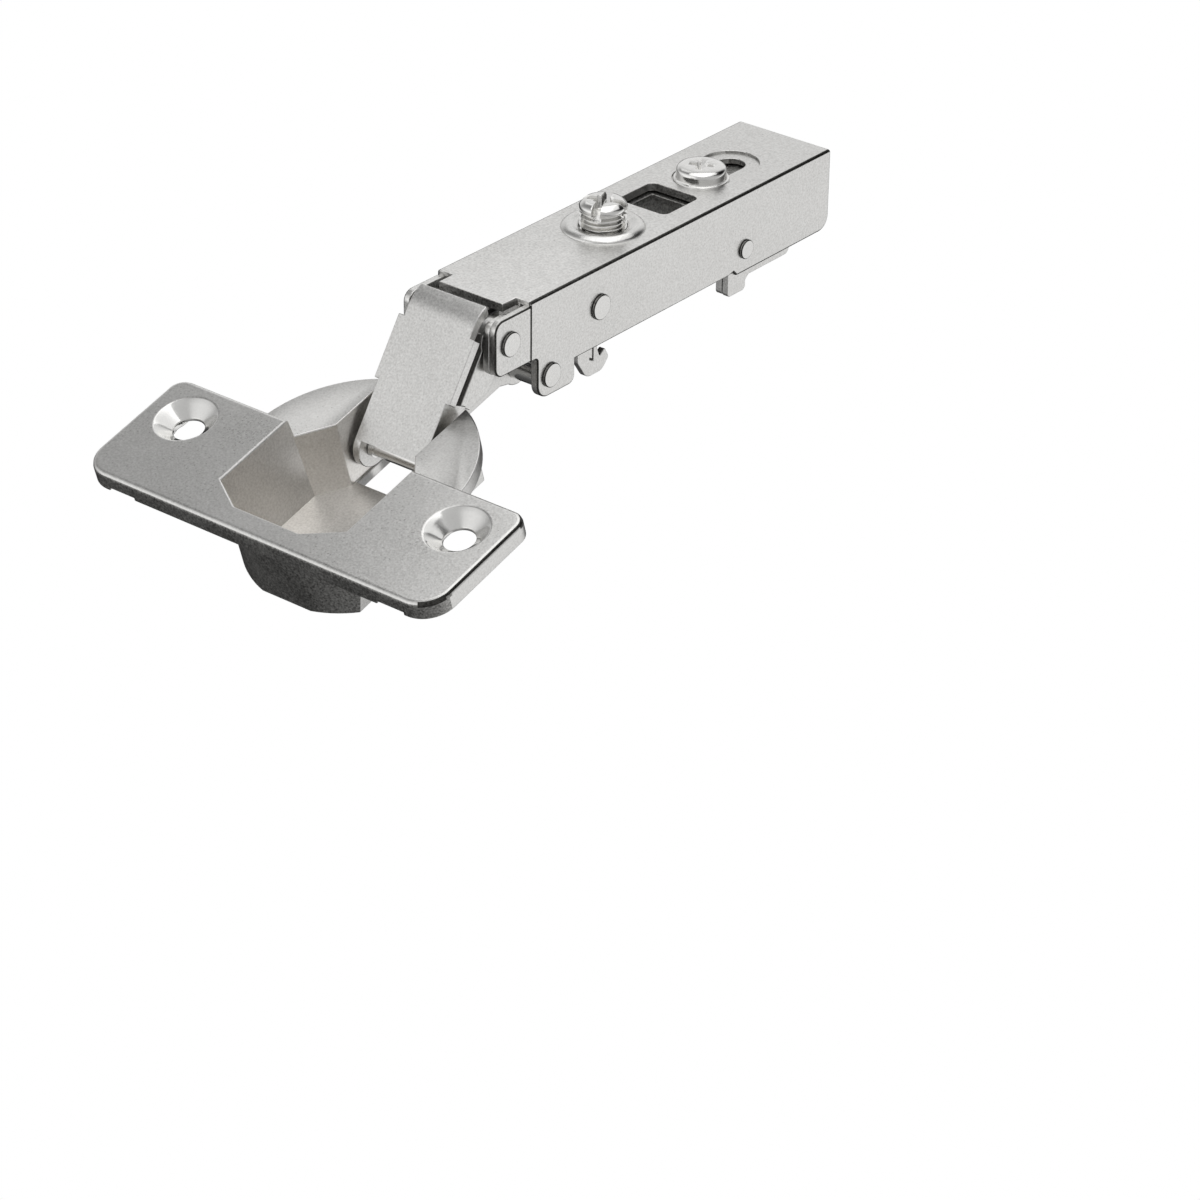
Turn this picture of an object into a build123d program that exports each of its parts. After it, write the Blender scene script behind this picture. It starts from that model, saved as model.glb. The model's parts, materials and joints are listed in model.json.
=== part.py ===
from build123d import *
from math import asin, atan2, cos, degrees, hypot, radians, sin, sqrt
import os

# Concealed cup hinge for a cabinet door, shown with the door about 106 degrees open.
# X runs along the pivot axles, +Y towards the rear of the arm, +Z up, all in millimetres.
# The origin is the middle of the face with which the clip carrier sits on its mounting plate.

# Arm: the outer folded channel
arm_length = 71.0
arm_width = 16.6
arm_sheet = 1.2
arm_rear_height = 12.45
arm_front_height = 11.8
arm_fold_radius = 0.45
ear_top_drop = 0.65
ear_bottom = 8.85
ear_reach = 4.47
ear_rear = 2.78
ear_inset = 0.12
tongue_half_width = 5.6
lobe_front = 4.25
lobe_rear = 12.2
lobe_bottom = 15.3

# Clip carrier: the inner folded channel that sits on the mounting plate
seat_to_front = 34.6
carrier_sheet = 1.0
carrier_play = 0.3
side_play = 0.1
carrier_front = 13.0
carrier_length = 51.0
depth_travel = 4.0
slot_room = 0.2
hook_reach = 16.8
latch_window_front = 48.5
latch_window_rear = 52.7
tab_reach = 16.2

# Pivots, each as its distance behind the arm's front edge and below the arm's top
upper_pivot = (-1.45, 4.55)
lower_pivot = (7.0, 12.25)
front_rivet = (17.6, 5.9)
guide_rivet = (50.7, 8.8)
latch_pivot = (57.6, 9.0)
axle_radius = 1.3
head_radius = 1.78
head_height = 0.45
rivet_radius = 1.25
rivet_head_radius = 1.86
guide_rivet_radius = 1.1
guide_head_radius = 1.44
pivot_clearance = 0.05
press_clearance = 0.02
side_clearance = 0.3

# Cup, measured from the line of its screw holes: along the flange towards the arm, and down
flange_tilt = 15.9
flange_line = (-30.91, 14.84)
flange_width = 62.0
flange_front = 13.98
flange_back = 6.49
flange_sheet = 2.8
flange_front_radius = 4.4
flange_back_radius = 2.4
recess_depth = 0.45
recess_inner = 21.5
recess_outer = 26.0
screw_spacing = 48.0
screw_hole_radius = 2.2
countersink_radius = 4.5
countersink_depth = 1.9
cup_radius = 17.5
cup_offset = 5.7
cup_rim = 2.2
cup_depth = 11.3
cup_floor = 1.6
cup_wall = 1.25
body_radius = 17.2
well_half_width = 11.15
well_nose = 5.7
well_front = 10.45
floor_half_width = 9.2
floor_nose = 5.4
floor_front = 9.7
floor_back = 5.9
chamfer_slope = 0.605
facet_slope = 1.25
pocket_half_width = 7.3
pocket_floor_half_width = 6.0
slot_half_width = 5.7
slot_front = 10.9
slot_back = 18.2
outer_cup_pivot = (14.6, 8.5)
inner_cup_pivot = (19.55, 7.75)
cup_axle_radius = 1.25
spindle_radius = 0.8

# Links
link_sheet = 1.45
crown_radius = 5.8
crown_angle = 36.5
toe_radius = 3.05
toe_half_width = 6.0
shoulder_half_width = 6.7
crown_half_width = 5.75
step_height = 8.7
link_flange_sheet = 1.2
inner_link_width = 5.0
big_eye_radius = 3.3
small_eye_radius = 1.7
inner_link_waist = 1.25
sleeve_radius = 2.25

# Screws on the arm
stud_back = 28.4
stud_radius = 3.4
stud_height = 4.1
stud_neck_radius = 2.1
stud_foot_radius = 3.3
foot_recess = 0.55
collar_radius = 5.9
collar_crest_radius = 4.9
collar_height = 0.6
collar_lip_height = 0.25
window_front = 36.9
window_back = 44.8
window_half_width = 4.3
screw_back = 50.8
screw_head_radius = 3.65
screw_head_height = 2.2
screw_shank_radius = 1.95
screw_length = 6.5
coin_depth = 0.35
coin_half_width = 4.15
slot_rear_centre = 57.8
cross_slot = 0.9
stud_slot = 1.2
stud_turn = 20
screw_turn = 24

# Springs
spring_wire = 0.8
latch_wire = 0.55
leg_hole_radius = 0.5

arm_inner = arm_width / 2 - arm_sheet
arm_front_y = -seat_to_front
arm_top_z = carrier_sheet + carrier_play + arm_sheet
carrier_half_width = arm_inner - side_play
carrier_inner = carrier_half_width - carrier_sheet


def place(back, down):
    """The (Y, Z) of a point behind the arm's front edge and below the arm's top."""
    return (arm_front_y + back, arm_top_z - down)


def in_cup(along, depth):
    """The (Y, Z) of a point given along the flange from its hole line and below its top."""
    y, z = place(*flange_line)
    tilt = radians(flange_tilt)
    return (
        y + along * cos(tilt) + depth * sin(tilt),
        z + along * sin(tilt) - depth * cos(tilt),
    )


def across(point, x=0.0):
    """The plane at x whose normal runs along the pivot axles, with its local x along +Y."""
    return Plane(origin=(x, *point), x_dir=(0, 1, 0), z_dir=(1, 0, 0))


def rounded_polygon(corners):
    """A flat polygon of (x, y, radius) corners, each rounded by its radius."""
    with BuildSketch() as flat:
        Polygon(*[(x, y) for x, y, _ in corners], align=None)
        for x, y, radius in corners:
            if radius:
                fillet(flat.vertices().sort_by_distance((x, y, 0))[0], radius)
    return flat.sketch


def side_profile(corners):
    """A rounded polygon from (back, down, radius) corners, as seen along the axles."""
    return rounded_polygon([(*place(back, down), radius) for back, down, radius in corners])


def well_polygon(half_width, nose, front, back, pocket):
    """The corners of the well at one level, from its front edge round to the link pocket."""
    right = [
        (nose, -front),
        (half_width, -front + (half_width - nose) * chamfer_slope),
        (half_width, back),
        (pocket, back + (half_width - pocket) * facet_slope),
    ]
    return right + [(-x, y) for x, y in reversed(right)]


def finish(part, label):
    """Names a finished piece and writes its STEP file."""
    part.label = label
    export_step(part, f"parts/{label}.step")


def headed_pin(point, radius, half_length, top_radius, top_height):
    """A shaft along X with a flat round head on each end."""
    with BuildPart(across(point)) as pin:
        Cylinder(radius, 2 * half_length)
        for end in (-1, 1):
            with Locations((0, 0, end * (half_length + top_height / 2))):
                Cylinder(top_radius, top_height)
        outer_rims = pin.edges().filter_by(GeomType.CIRCLE).group_by(Axis.X)
        fillet(outer_rims[0] + outer_rims[-1], top_height * 0.4)
    return pin.part


def coil(point, inner_radius, wire, half_length):
    """A close-wound coil about a pivot, its turns drawn as rings that just merge."""
    pitch = wire * 0.94
    turns = int((2 * half_length - wire) / pitch)
    first = -pitch * turns / 2
    ring_plane = Plane(origin=(0, *point), x_dir=(1, 0, 0), z_dir=(0, -1, 0))
    with BuildPart() as spring:
        with BuildSketch(ring_plane):
            for turn in range(turns + 1):
                with Locations((first + turn * pitch, inner_radius + wire / 2)):
                    Circle(wire / 2)
        revolve(axis=Axis((0, *point), (1, 0, 0)))
    return spring.part


os.makedirs("parts", exist_ok=True)

upper_at = place(*upper_pivot)
lower_at = place(*lower_pivot)
outer_cup_at = in_cup(*outer_cup_pivot)
inner_cup_at = in_cup(*inner_cup_pivot)
stud_y = arm_front_y + stud_back
screw_y = arm_front_y + screw_back
carrier_rear = carrier_front + carrier_length

# Arm
lobe_corner = 2.2
relief_radius = 0.6
nick_back = 48.0
nick_length = 0.85
nick_rise = 0.2
arm_side = side_profile(
    [
        (ear_rear, 0, 0),
        (arm_length, 0, 0.5),
        (arm_length, arm_rear_height, 2.2),
        (nick_back + nick_length, arm_rear_height, 0),
        (nick_back, arm_front_height - nick_rise, 0),
        (nick_back - nick_length, arm_front_height, 0),
        (lobe_rear, arm_front_height, 0),
        (lobe_rear, lobe_bottom, 1.2),
        (lobe_front, lobe_bottom, lobe_corner),
        (lobe_front, ear_bottom, relief_radius),
        (-ear_reach, ear_bottom, 1.5),
        (-ear_reach, ear_top_drop, 1.6),
        (ear_rear, ear_top_drop, 0),
    ]
)
slot_front_centre = screw_back - slot_room
with BuildPart() as arm:
    with BuildSketch(Plane.YZ):
        add(arm_side)
    extrude(amount=arm_width / 2, both=True)
    fillet(
        arm.edges().filter_by(Axis.Y).group_by(Axis.Z)[-1],
        arm_fold_radius,
    )
    with BuildSketch(Plane.XY.offset(arm_top_z - arm_sheet)):
        with Locations((0, arm_front_y + arm_length / 2)):
            Rectangle(2 * arm_inner, 2 * arm_length)
    extrude(amount=-arm_front_height - lobe_bottom, mode=Mode.SUBTRACT)
    with BuildSketch(Plane.XY.offset(arm_top_z - ear_top_drop)):
        with Locations((0, arm_front_y + ear_rear - arm_length / 2)):
            Rectangle(2 * arm_inner, arm_length)
    extrude(amount=-arm_sheet, mode=Mode.SUBTRACT)
    with BuildSketch(Plane.XY.offset(arm_top_z)):
        with Locations((0, arm_front_y + ear_rear)):
            Rectangle(2 * tongue_half_width, 2 * ear_rear)
    extrude(amount=-arm_sheet)
    # Each ear is coined a little thinner than the sides
    for sign in (-1, 1):
        with BuildSketch(Plane.YZ.offset(sign * arm_width / 2)):
            with Locations(place(ear_rear - arm_length / 2, 0)):
                Rectangle(arm_length, 2 * ear_bottom + 2)
        extrude(amount=-sign * ear_inset, mode=Mode.SUBTRACT)
    # Dished collar that holds the front screw
    with BuildSketch(Plane.YZ):
        with BuildLine():
            Polyline(
                (stud_y, arm_top_z - arm_sheet),
                (stud_y + collar_radius, arm_top_z - arm_sheet),
                (stud_y + collar_radius, arm_top_z),
                (stud_y + collar_crest_radius + 0.25, arm_top_z + collar_height - 0.05),
                (stud_y + collar_crest_radius, arm_top_z + collar_height),
                (stud_y + collar_crest_radius - 0.3, arm_top_z + collar_height - 0.05),
                (stud_y + stud_radius + 0.5, arm_top_z + collar_lip_height),
                (stud_y, arm_top_z + collar_lip_height),
                close=True,
            )
        make_face()
    revolve(axis=Axis((0, stud_y, 0), (0, 0, 1)))
    with Locations(Plane((0, stud_y, arm_top_z))):
        Hole(stud_radius + pivot_clearance)
    # Window between the two screws
    with BuildSketch(Plane.XY.offset(arm_top_z)):
        with Locations((0, arm_front_y + (window_front + window_back) / 2)):
            RectangleRounded(2 * window_half_width, window_back - window_front, 1.0)
    extrude(amount=-arm_sheet, mode=Mode.SUBTRACT)
    # Coined track and slot of the rear screw
    slot_middle = arm_front_y + (slot_front_centre + slot_rear_centre) / 2
    slot_run = slot_rear_centre - slot_front_centre
    with BuildSketch(Plane.XY.offset(arm_top_z)):
        with Locations((0, slot_middle)):
            SlotCenterToCenter(slot_run, 2 * coin_half_width, rotation=90)
    extrude(amount=-coin_depth, mode=Mode.SUBTRACT)
    with BuildSketch(Plane.XY.offset(arm_top_z)):
        with Locations((0, slot_middle)):
            SlotCenterToCenter(slot_run, 2 * (screw_shank_radius + 0.15), rotation=90)
    extrude(amount=-arm_sheet, mode=Mode.SUBTRACT)
    # Holes for the axles and rivets
    for point, radius in (
        (upper_pivot, axle_radius),
        (lower_pivot, axle_radius),
        (front_rivet, rivet_radius),
        (guide_rivet, guide_rivet_radius),
    ):
        with Locations(across(place(*point))):
            Hole(radius + press_clearance)
finish(arm.part, "arm")

# Ear plates: a second layer of sheet inside each front ear, riveted on the upper axle
ear_plate_sheet = 1.1
ear_plate_side = side_profile(
    [
        (-0.6, 1.05, 0.5),
        (-ear_reach - 0.05, 1.05, 1.5),
        (-ear_reach - 0.05, ear_bottom - 0.05, 1.3),
        (3.4, ear_bottom - 0.05, 0.8),
        (3.4, 2.6, 1.0),
    ]
)
for side, sign in (("left", -1), ("right", 1)):
    ear_plate_x = arm_inner - press_clearance - ear_plate_sheet
    with BuildPart() as ear_plate:
        with BuildSketch(Plane.YZ.offset(sign * ear_plate_x)):
            add(ear_plate_side)
        extrude(amount=sign * ear_plate_sheet)
        with Locations(across(upper_at)):
            Hole(axle_radius + press_clearance)
    finish(ear_plate.part, f"ear_plate_{side}")

# Axles and rivets of the arm
upper_half = arm_width / 2 - ear_inset
finish(headed_pin(upper_at, axle_radius, upper_half, head_radius, head_height), "upper_axle")
finish(headed_pin(lower_at, axle_radius, arm_width / 2, head_radius, head_height), "lower_axle")
front_rivet_at = place(*front_rivet)
finish(
    headed_pin(front_rivet_at, rivet_radius, arm_width / 2, rivet_head_radius, head_height),
    "front_rivet",
)
guide_inset = carrier_sheet * 0.9
for side, sign in (("left", -1), ("right", 1)):
    with BuildPart(across(place(*guide_rivet), sign * arm_width / 2)) as rivet:
        shank_length = arm_sheet + side_play + guide_inset
        with Locations((0, 0, -sign * shank_length / 2)):
            Cylinder(guide_rivet_radius, shank_length)
        with Locations((0, 0, sign * head_height / 2)):
            Cylinder(guide_head_radius, head_height)
        fillet(
            rivet.edges().filter_by(GeomType.CIRCLE).sort_by(Axis.X)[-1 if sign > 0 else 0],
            head_height * 0.4,
        )
    finish(rivet.part, f"guide_rivet_{side}")

# Spacer sleeves on the lower axle, either side of the inner link
for side, sign in (("left", -1), ("right", 1)):
    sleeve_start = inner_link_width / 2 + 0.1
    sleeve_length = arm_inner - press_clearance - sleeve_start
    with BuildPart(across(lower_at, sign * (sleeve_start + sleeve_length / 2))) as sleeve:
        Cylinder(sleeve_radius, sleeve_length)
        Hole(axle_radius + press_clearance)
    finish(sleeve.part, f"sleeve_{side}")

# Clip carrier
hook_front = 14.4
hook_throat = 19.0
hook_rear = 21.3
carrier_top = arm_sheet + carrier_play
# The hook is the beak below the side's edge, cut off from it by the throat
hook_side = side_profile(
    [
        (hook_front, 11.2, 0),
        (hook_front, 13.8, 1.0),
        (16.4, hook_reach, 1.8),
        (19.8, hook_reach, 1.6),
        (hook_rear, 15.2, 0.6),
        (hook_rear - 0.9, 13.6, 0.25),
        (hook_throat + 0.3, 14.5, 0.25),
        (hook_throat - 0.2, 13.3, 0.3),
        (hook_throat - 0.4, 11.2, 0),
    ]
)
strip_reach = 14.1
carrier_body = side_profile(
    [
        (carrier_front, carrier_top, 1.5),
        (carrier_rear, carrier_top, 0.4),
        (carrier_rear, 11.6, 1.2),
        (62.8, strip_reach, 1.0),
        (latch_window_rear + 0.8, strip_reach, 0),
        (latch_window_rear, strip_reach + 0.6, 0.4),
        (latch_window_rear, tab_reach, 0.7),
        (latch_window_front, tab_reach, 0.7),
        (latch_window_front, 11.5, 0),
        (carrier_front, 11.5, 1.5),
    ]
)
front_rivet_y, front_rivet_z = front_rivet_at
guide_y, guide_z = place(*guide_rivet)
latch_at = place(*latch_pivot)
slit_back = 17.95
slit_width = 0.3
slit_reach = 14.7
thread_collar_radius = 3.2
thread_collar_height = 1.4
latch_pin_radius = 1.0
latch_spring_inner = latch_pin_radius + 0.15
latch_spring_half = 2.6
latch_leg_radius = latch_wire / 2
latch_leg_x = latch_spring_half - latch_wire
latch_leg_y = latch_at[0] + latch_spring_inner + latch_leg_radius
screw_slide = depth_travel + 2 * slot_room
slide_centre = -depth_travel / 2
with BuildPart() as carrier:
    with BuildSketch(Plane.YZ):
        add(carrier_body)
        add(hook_side)
    extrude(amount=carrier_half_width, both=True)
    with BuildSketch(Plane.XY):
        with Locations((0, arm_front_y + arm_length / 2)):
            Rectangle(2 * carrier_inner, 2 * arm_length)
    extrude(amount=-hook_reach - carrier_sheet, mode=Mode.SUBTRACT)
    # Window under the arm's window, and the slot in which the front screw's neck slides
    with BuildSketch(Plane.XY.offset(carrier_sheet)):
        with Locations((0, arm_front_y + (window_front + window_back) / 2)):
            Rectangle(2 * window_half_width - 1.2, window_back - window_front - 1.2)
        with Locations((0, stud_y + slide_centre)):
            SlotCenterToCenter(screw_slide, 2 * (stud_neck_radius + 0.15), rotation=90)
        for sign in (-1, 1):
            with Locations((sign * latch_leg_x, latch_leg_y)):
                Circle(leg_hole_radius)
    extrude(amount=-carrier_sheet, mode=Mode.SUBTRACT)
    # Coined recess under the web that hides the front screw's foot
    with BuildSketch(Plane.XY):
        with Locations((0, stud_y + slide_centre)):
            SlotCenterToCenter(screw_slide, 2 * (stud_foot_radius + 0.15), rotation=90)
    extrude(amount=foot_recess, mode=Mode.SUBTRACT)
    # Threaded collar of the rear screw
    with BuildSketch(Plane.XY):
        with Locations((0, screw_y)):
            Circle(thread_collar_radius)
    extrude(amount=-thread_collar_height)
    with Locations(Plane((0, screw_y, carrier_sheet))):
        Hole(screw_shank_radius + pivot_clearance)
    # Slots that ride on the rivets, and the hole of the latch pin
    for point, radius in (
        (front_rivet_at, rivet_radius),
        ((guide_y, guide_z), guide_rivet_radius),
    ):
        with BuildSketch(across(point)):
            with Locations((slide_centre, 0)):
                SlotCenterToCenter(screw_slide, 2 * (radius + pivot_clearance))
        extrude(amount=arm_width, both=True, mode=Mode.SUBTRACT)
    with Locations(across(latch_at)):
        Hole(latch_pin_radius + press_clearance)
    # Relief slit in each hook
    with BuildSketch(Plane.YZ):
        Polygon(
            place(slit_back, 12.4),
            place(slit_back, slit_reach),
            place(slit_back - 0.9, slit_reach - 0.4),
            place(slit_back - 0.9, slit_reach - 0.75),
            place(slit_back - slit_width, slit_reach - 0.4),
            place(slit_back - slit_width, 12.4),
            align=None,
        )
    extrude(amount=arm_width, both=True, mode=Mode.SUBTRACT)
finish(carrier.part, "carrier")

# Latch pin across the carrier
with BuildPart(across(latch_at)) as latch_pin:
    Cylinder(latch_pin_radius, 2 * carrier_half_width - press_clearance)
finish(latch_pin.part, "latch_pin")

# Latch lever: a small folded channel whose front tabs catch under the mounting plate
lever_half_width = carrier_inner - side_play
lever_sheet = 1.1
lever_reach = 13.8
lever_side = side_profile(
    [
        (latch_window_front, tab_reach - 0.1, 0.7),
        (latch_window_front, 11.8, 1.0),
        (53.9, 10.6, 2.0),
        (55.6, 6.5, 1.5),
        (60.0, 6.5, 1.5),
        (62.4, 12.4, 1.0),
        (62.4, lever_reach, 0.5),
        (latch_window_rear, lever_reach, 1.0),
        (latch_window_rear, tab_reach - 0.1, 0.7),
    ]
)
lever_pad_front = 58.6
with BuildPart() as latch_lever:
    with BuildSketch(Plane.YZ):
        add(lever_side)
    extrude(amount=lever_half_width, both=True)
    pad_y, pad_z = place(lever_pad_front, lever_reach - lever_sheet)
    with BuildSketch(Plane.XY.offset(arm_top_z)):
        with Locations((0, pad_y)):
            Rectangle(2 * (lever_half_width - lever_sheet), 2 * arm_length)
    extrude(amount=pad_z - arm_top_z, mode=Mode.SUBTRACT)
    with BuildSketch(Plane.XY.offset(arm_top_z)):
        with Locations((0, pad_y - arm_length / 2)):
            Rectangle(2 * (lever_half_width - lever_sheet), arm_length)
    extrude(amount=-2 * lobe_bottom, mode=Mode.SUBTRACT)
    with Locations(across(latch_at)):
        Hole(latch_pin_radius + pivot_clearance)
finish(latch_lever.part, "latch_lever")

# Latch spring: a coil on the latch pin whose two legs hook into holes in the carrier's web
latch_coil = coil(latch_at, latch_spring_inner, latch_wire, latch_spring_half)
with BuildPart() as latch_spring:
    add(latch_coil)
    for end in (-1, 1):
        with BuildSketch(Plane.XY.offset(latch_at[1])):
            with Locations((end * latch_leg_x, latch_leg_y)):
                Circle(latch_leg_radius)
        extrude(amount=carrier_sheet * 0.6 - latch_at[1])
finish(latch_spring.part, "latch_spring")

# Front screw: a threaded stud with a cross-slotted crown, a neck and a foot
thread_depth = 0.25
thread_pitch = 0.8
crown_drop = 0.8
with BuildPart() as front_screw:
    with BuildSketch(Plane.YZ):
        with BuildLine():
            foot_bottom = 0.05
            foot_top = foot_recess - 0.05
            neck_top = carrier_sheet + 0.1
            shoulder_z = arm_top_z + stud_height - crown_drop
            top_z = arm_top_z + stud_height
            Polyline(
                (stud_y, foot_bottom),
                (stud_y + stud_foot_radius, foot_bottom),
                (stud_y + stud_foot_radius, foot_top),
                (stud_y + stud_neck_radius, foot_top),
                (stud_y + stud_neck_radius, neck_top),
                (stud_y + stud_radius, neck_top),
                (stud_y + stud_radius, shoulder_z),
                (stud_y + stud_radius - crown_drop, top_z),
                (stud_y, top_z),
                close=True,
            )
        make_face()
    revolve(axis=Axis((0, stud_y, 0), (0, 0, 1)))
    # Thread grooves above the collar
    groove_z = arm_top_z + collar_height + thread_pitch / 2
    while groove_z < shoulder_z - thread_pitch / 3:
        with BuildSketch(Plane.YZ):
            with Locations((stud_y + stud_radius, groove_z)):
                Rectangle(2 * thread_depth, thread_pitch * 0.45)
        revolve(axis=Axis((0, stud_y, 0), (0, 0, 1)), mode=Mode.SUBTRACT)
        groove_z += thread_pitch
    with BuildSketch(Plane.XY.offset(top_z)):
        for turn in (stud_turn, stud_turn + 90):
            with Locations((0, stud_y)):
                Rectangle(3 * stud_radius, stud_slot, rotation=turn)
    extrude(amount=-2 * crown_drop, mode=Mode.SUBTRACT)
finish(front_screw.part, "front_screw")

# Rear screw: a pan head with a cross recess, clamping the arm on the carrier
head_seat_z = arm_top_z - coin_depth + 0.05
base_flange_radius = 4.0
base_flange_height = 0.3
head_round = 0.75
with BuildPart() as rear_screw:
    with BuildSketch(Plane.XY.offset(head_seat_z)):
        with Locations((0, screw_y)):
            Circle(base_flange_radius)
    extrude(amount=base_flange_height)
    with BuildSketch(Plane.XY.offset(head_seat_z)):
        with Locations((0, screw_y)):
            Circle(screw_head_radius)
    extrude(amount=screw_head_height)
    fillet(rear_screw.edges().filter_by(GeomType.CIRCLE).sort_by(Axis.Z)[-1], head_round)
    with BuildSketch(Plane.XY.offset(head_seat_z)):
        with Locations((0, screw_y)):
            Circle(screw_shank_radius)
    extrude(amount=-screw_length)
    chamfer(rear_screw.edges().filter_by(GeomType.CIRCLE).sort_by(Axis.Z)[0], 0.4)
    with BuildSketch(Plane.XY.offset(head_seat_z + screw_head_height)):
        for turn in (screw_turn, screw_turn + 90):
            with Locations((0, screw_y)):
                Rectangle(1.3 * screw_head_radius, cross_slot, rotation=turn)
    extrude(amount=-1.3, taper=6, mode=Mode.SUBTRACT)
finish(rear_screw.part, "rear_screw")

# Outer link, drawn in its own frame: depth behind its front face, height above the cup pivot
pivot_span = hypot(upper_at[0] - outer_cup_at[0], upper_at[1] - outer_cup_at[1])
pivot_heading = atan2(upper_at[1] - outer_cup_at[1], upper_at[0] - outer_cup_at[0])
link_lean = pivot_heading + asin((crown_radius - toe_radius) / pivot_span)
crown_height = sqrt(pivot_span**2 - (crown_radius - toe_radius) ** 2)
depth_dir = (sin(link_lean), -cos(link_lean))
foot_at = (
    outer_cup_at[0] - toe_radius * depth_dir[0],
    outer_cup_at[1] - toe_radius * depth_dir[1],
)
link_plane = Plane(origin=(0, *foot_at), x_dir=(0, *depth_dir), z_dir=(1, 0, 0))
notch_height = crown_height - 1.4
web_inner = 3.4
web_outer = 4.6
flange_outer = arm_inner - press_clearance - ear_plate_sheet - side_clearance
flange_eye_radius = 2.96
flange_depth = crown_radius + flange_eye_radius
flange_edge = 3.9
cut_height = step_height + 0.4
toe_flange_depth = 4.6
with BuildPart() as outer_link:
    with BuildSketch(link_plane):
        with Locations((link_sheet / 2, step_height / 2)):
            Rectangle(link_sheet, step_height)
    extrude(amount=toe_half_width, both=True)
    with BuildSketch(link_plane):
        with Locations((link_sheet / 2, (step_height + notch_height) / 2)):
            Rectangle(link_sheet, notch_height - step_height)
    extrude(amount=shoulder_half_width, both=True)
    # Crown: the front plate curls back concentrically about the upper axle
    with BuildSketch(link_plane):
        with Locations((link_sheet / 2, (notch_height + crown_height) / 2)):
            Rectangle(link_sheet, crown_height - notch_height)
        with BuildLine():
            crown_centre = (crown_radius, crown_height)
            outer_arc = CenterArc(crown_centre, crown_radius, 180 - crown_angle, crown_angle)
            inner_arc = CenterArc(
                crown_centre, crown_radius - link_sheet, 180 - crown_angle, crown_angle
            )
            Line(outer_arc @ 0, inner_arc @ 0)
            Line(outer_arc @ 1, inner_arc @ 1)
        make_face()
    extrude(amount=crown_half_width, both=True)
    for sign in (-1, 1):
        # Web that folds back from the plate
        with BuildSketch(link_plane.offset(sign * web_inner)):
            with Locations((0, 1.6)):
                Rectangle(
                    flange_edge + 0.6,
                    crown_height - 1.6,
                    align=(Align.MIN, Align.MIN),
                )
        extrude(amount=sign * (web_outer - web_inner))
        # Upper flange with the eye of the upper axle
        with BuildSketch(link_plane.offset(sign * flange_outer)):
            with Locations((crown_radius, crown_height)):
                Circle(flange_eye_radius)
            Polygon(
                (flange_edge, cut_height),
                (crown_radius + 0.3, cut_height),
                (flange_depth, cut_height + 3.4),
                (flange_depth, crown_height),
                (flange_edge, crown_height),
                align=None,
            )
        extrude(amount=-sign * link_flange_sheet)
        # Lower flange with the eye of the cup axle
        with BuildSketch(link_plane.offset(sign * toe_half_width)):
            with Locations((toe_radius, 0)):
                Circle(toe_radius)
            Polygon(
                (0, 0),
                (2 * toe_radius, 0),
                (toe_flange_depth, 3.0),
                (toe_flange_depth, cut_height + 0.3),
                (0, step_height),
                align=None,
            )
        extrude(amount=-sign * link_flange_sheet)
    with Locations(across(upper_at)):
        Hole(axle_radius + pivot_clearance)
    with Locations(across(outer_cup_at)):
        Hole(cup_axle_radius + pivot_clearance)
finish(outer_link.part, "outer_link")

# Inner link: a cast lever from the lower axle into the cup
link_reach = hypot(lower_at[0] - inner_cup_at[0], lower_at[1] - inner_cup_at[1])
link_angle = degrees(atan2(lower_at[1] - inner_cup_at[1], lower_at[0] - inner_cup_at[0]))
inner_plane = Plane(
    origin=(0, *inner_cup_at),
    x_dir=(0, cos(radians(link_angle)), sin(radians(link_angle))),
    z_dir=(1, 0, 0),
)
with BuildPart() as inner_link:
    with BuildSketch(inner_plane):
        Circle(small_eye_radius)
        with Locations((link_reach, 0)):
            Circle(big_eye_radius)
        Polygon(
            (0, small_eye_radius),
            (small_eye_radius * 1.6, inner_link_waist),
            (link_reach - big_eye_radius * 1.3, inner_link_waist),
            (link_reach, big_eye_radius),
            (link_reach, -big_eye_radius),
            (link_reach - big_eye_radius * 1.3, -inner_link_waist),
            (small_eye_radius * 1.6, -inner_link_waist),
            (0, -small_eye_radius),
            align=None,
        )
    extrude(amount=inner_link_width / 2, both=True)
    with Locations(across(lower_at)):
        Hole(axle_radius + pivot_clearance)
    with Locations(across(inner_cup_at)):
        Hole(spindle_radius + press_clearance)
finish(inner_link.part, "inner_link")

# Cup spindle: the inner link's pin at the cup, open to the cup with clearance all round
spindle_half = web_inner - side_clearance
with BuildPart(across(inner_cup_at)) as cup_spindle:
    Cylinder(spindle_radius, 2 * spindle_half)
    chamfer(cup_spindle.edges().filter_by(GeomType.CIRCLE), 0.2)
finish(cup_spindle.part, "cup_spindle")

# Closing spring: a coil on the upper axle between the webs of the outer link
closing_spring_inner = axle_radius + 0.2
closing_spring_half = web_inner - side_clearance
closing_coil = coil(upper_at, closing_spring_inner, spring_wire, closing_spring_half)
leg_height = closing_spring_inner + spring_wire / 2
with BuildPart() as closing_spring:
    add(closing_coil)
    for end in (-1, 1):
        leg_x = end * (closing_spring_half - spring_wire)
        with BuildSketch(Plane.XZ.offset(-upper_at[0])):
            with Locations((leg_x, upper_at[1] + leg_height)):
                Circle(spring_wire / 2)
        extrude(amount=-(ear_rear + 2.0 - upper_pivot[0]))
finish(closing_spring.part, "closing_spring")

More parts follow.
